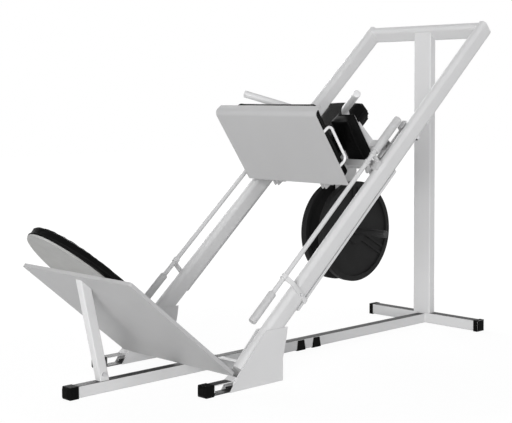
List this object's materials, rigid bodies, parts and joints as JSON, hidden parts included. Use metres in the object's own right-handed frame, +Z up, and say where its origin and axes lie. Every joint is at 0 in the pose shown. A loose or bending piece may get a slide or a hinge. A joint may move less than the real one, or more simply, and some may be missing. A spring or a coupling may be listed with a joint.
{
  "type": "sled leg press machine",
  "caption": "Plate-loaded sled that slides on two inclined rails above a low back pad, for leg presses and hack squats.",
  "frame": {"origin": "centre of the bounding box on the floor", "axes": "+X from the back pad's head end towards the rear post, +Y across to the side that is far from the viewer, +Z up"},
  "size_m": [2.306, 0.734, 1.4483],
  "materials": {
    "frame_paint": "satin",
    "dark_paint": "satin",
    "plate_paint": "satin",
    "sled_paint": "satin",
    "cap_rubber": "matte",
    "grip_sleeve": "matte",
    "vinyl": "satin",
    "board": "matte",
    "black_board": "matte",
    "disc_iron": "satin",
    "steel": "satin",
    "plastic": "matte"
  },
  "bodies": {
    "frame": {"spine": "frame_paint", "spine_cap": "cap_rubber", "spine_feet": "cap_rubber", "rear_foot": "frame_paint", "rear_foot_caps": "cap_rubber", "upright_post": "frame_paint", "top_crossbar": "frame_paint", "rail_left": "frame_paint", "rail_right": "frame_paint", "rail_plugs": "plastic", "rail_strips": "frame_paint", "gussets": "frame_paint", "foot_stubs": "frame_paint", "foot_stub_caps": "cap_rubber", "front_cross_tubes": "frame_paint", "platform_plate": "frame_paint", "platform_tabs": "frame_paint", "front_strut": "frame_paint", "strut_lug": "dark_paint", "strut_bolt": "steel", "pad_board": "board", "back_cushion": "vinyl", "rod_straps": "sled_paint", "strap_nubs": "steel", "rod_brackets": "sled_paint"},
    "sled": {"sled_sides": "sled_paint", "sled_cross_tubes": "sled_paint", "sled_centre_tubes": "sled_paint", "sled_shoes": "sled_paint", "roller_axles": "steel", "weight_carrier": "frame_paint", "weight_horn": "dark_paint", "horn_collars": "dark_paint", "fold_arms": "sled_paint", "shoulder_plates": "sled_paint", "shoulder_pad_left": "vinyl", "shoulder_pad_right": "vinyl", "shoulder_wedges": "frame_paint", "horn_handle_left": "frame_paint", "horn_handle_right": "frame_paint", "horn_plugs": "plastic", "head_board": "black_board", "head_pad": "vinyl"},
    "foot_plate": {"foot_plate": "plate_paint", "hack_board": "black_board", "hack_pad": "vinyl", "d_handles": "plate_paint", "hinge_bar": "plate_paint", "fold_pins": "steel"},
    "lock_left": {"lock_rod_left": "steel", "lock_catch_left": "sled_paint", "rod_grips_left": "grip_sleeve"},
    "lock_right": {"lock_rod_right": "steel", "lock_catch_right": "sled_paint", "rod_grips_right": "grip_sleeve"},
    "disc_left": {"weight_disc_left": "disc_iron"},
    "disc_right": {"weight_disc_right": "disc_iron"},
    "rollers_front": {"rollers_front": "plastic"},
    "rollers_rear": {"rollers_rear": "plastic"}
  },
  "joints": [
    {"name": "sled_slide", "type": "slide", "parent": "frame", "child": "sled", "axis": [0.7518, 0, 0.6593], "range_m": [0, 0.4]},
    {"name": "foot_plate_fold", "type": "hinge", "parent": "sled", "child": "foot_plate", "pos_m": [0.26115, 0, 0.73713], "axis": [0, -1, 0], "range_deg": [0, 97]},
    {"name": "lock_turn_left", "type": "hinge", "parent": "frame", "child": "lock_left", "pos_m": [0.0388, 0.3335, 0.5974], "axis": [0.7518, 0, 0.6593], "range_deg": [0, 68]},
    {"name": "lock_turn_right", "type": "hinge", "parent": "frame", "child": "lock_right", "pos_m": [0.0388, -0.3335, 0.5974], "axis": [-0.7518, 0, -0.6593], "range_deg": [0, 68]},
    {"name": "disc_slide_left", "type": "slide", "parent": "sled", "child": "disc_left", "axis": [0, 1, 0], "range_m": [0, 0.14]},
    {"name": "disc_slide_right", "type": "slide", "parent": "sled", "child": "disc_right", "axis": [0, -1, 0], "range_m": [0, 0.14]},
    {"name": "rollers_front_spin", "type": "hinge", "parent": "sled", "child": "rollers_front", "pos_m": [0.45565, 0, 0.75907], "axis": [0, 1, 0], "continuous": true},
    {"name": "rollers_rear_spin", "type": "hinge", "parent": "sled", "child": "rollers_rear", "pos_m": [0.64511, 0, 0.92523], "axis": [0, 1, 0], "continuous": true}
  ],
  "couplings": [
    {"joint": "rollers_front_spin", "follows": "sled_slide", "rad_per_m": -71.429},
    {"joint": "rollers_rear_spin", "follows": "sled_slide", "rad_per_m": -71.429}
  ]
}
